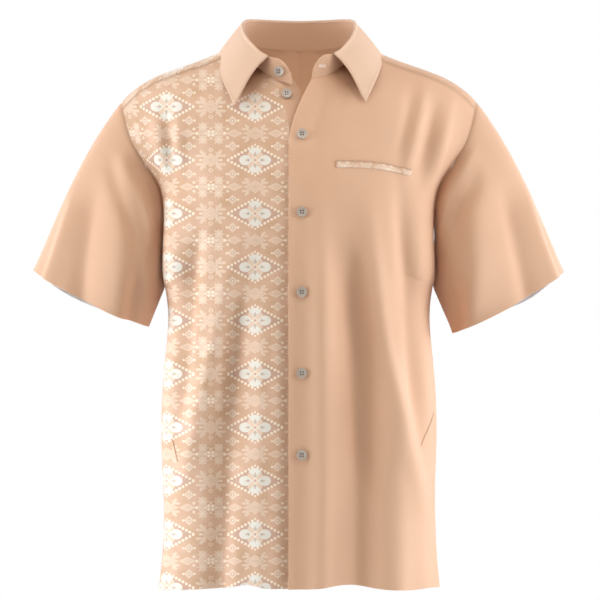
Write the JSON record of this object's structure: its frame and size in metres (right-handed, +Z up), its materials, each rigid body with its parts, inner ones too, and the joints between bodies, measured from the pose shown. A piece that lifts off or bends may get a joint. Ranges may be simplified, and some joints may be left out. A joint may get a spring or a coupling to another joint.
{
  "type": "batik shirt",
  "caption": "Short-sleeved buttoned shirt in its worn form, hollow, with a stand collar and leaf, a printed right front, a plain left front and plain sleeves.",
  "frame": {"origin": "midway between the wearer's shoulders at the base of the neck, where the shirt is carried", "axes": "+Z up along the body, -Y towards the front with the buttons, +X towards the wearer's left"},
  "size_m": [0.743, 0.2686, 0.8005],
  "materials": {
    "plain_cloth": "matte",
    "printed_cloth": "matte",
    "button": "satin"
  },
  "bodies": {
    "root": {"front_left": "plain_cloth", "front_right": "printed_cloth", "button_band": "plain_cloth", "back": "plain_cloth", "yoke_left": "plain_cloth", "yoke_right": "printed_cloth", "sleeve_left": "plain_cloth", "sleeve_right": "plain_cloth", "collar_stand": "plain_cloth", "collar_leaf": "plain_cloth", "chest_welt": "printed_cloth", "side_welt_left": "plain_cloth", "side_welt_right": "plain_cloth", "button_neck": "button", "button_1": "button", "button_2": "button", "button_3": "button", "button_4": "button", "button_5": "button", "button_6": "button"}
  },
  "joints": []
}
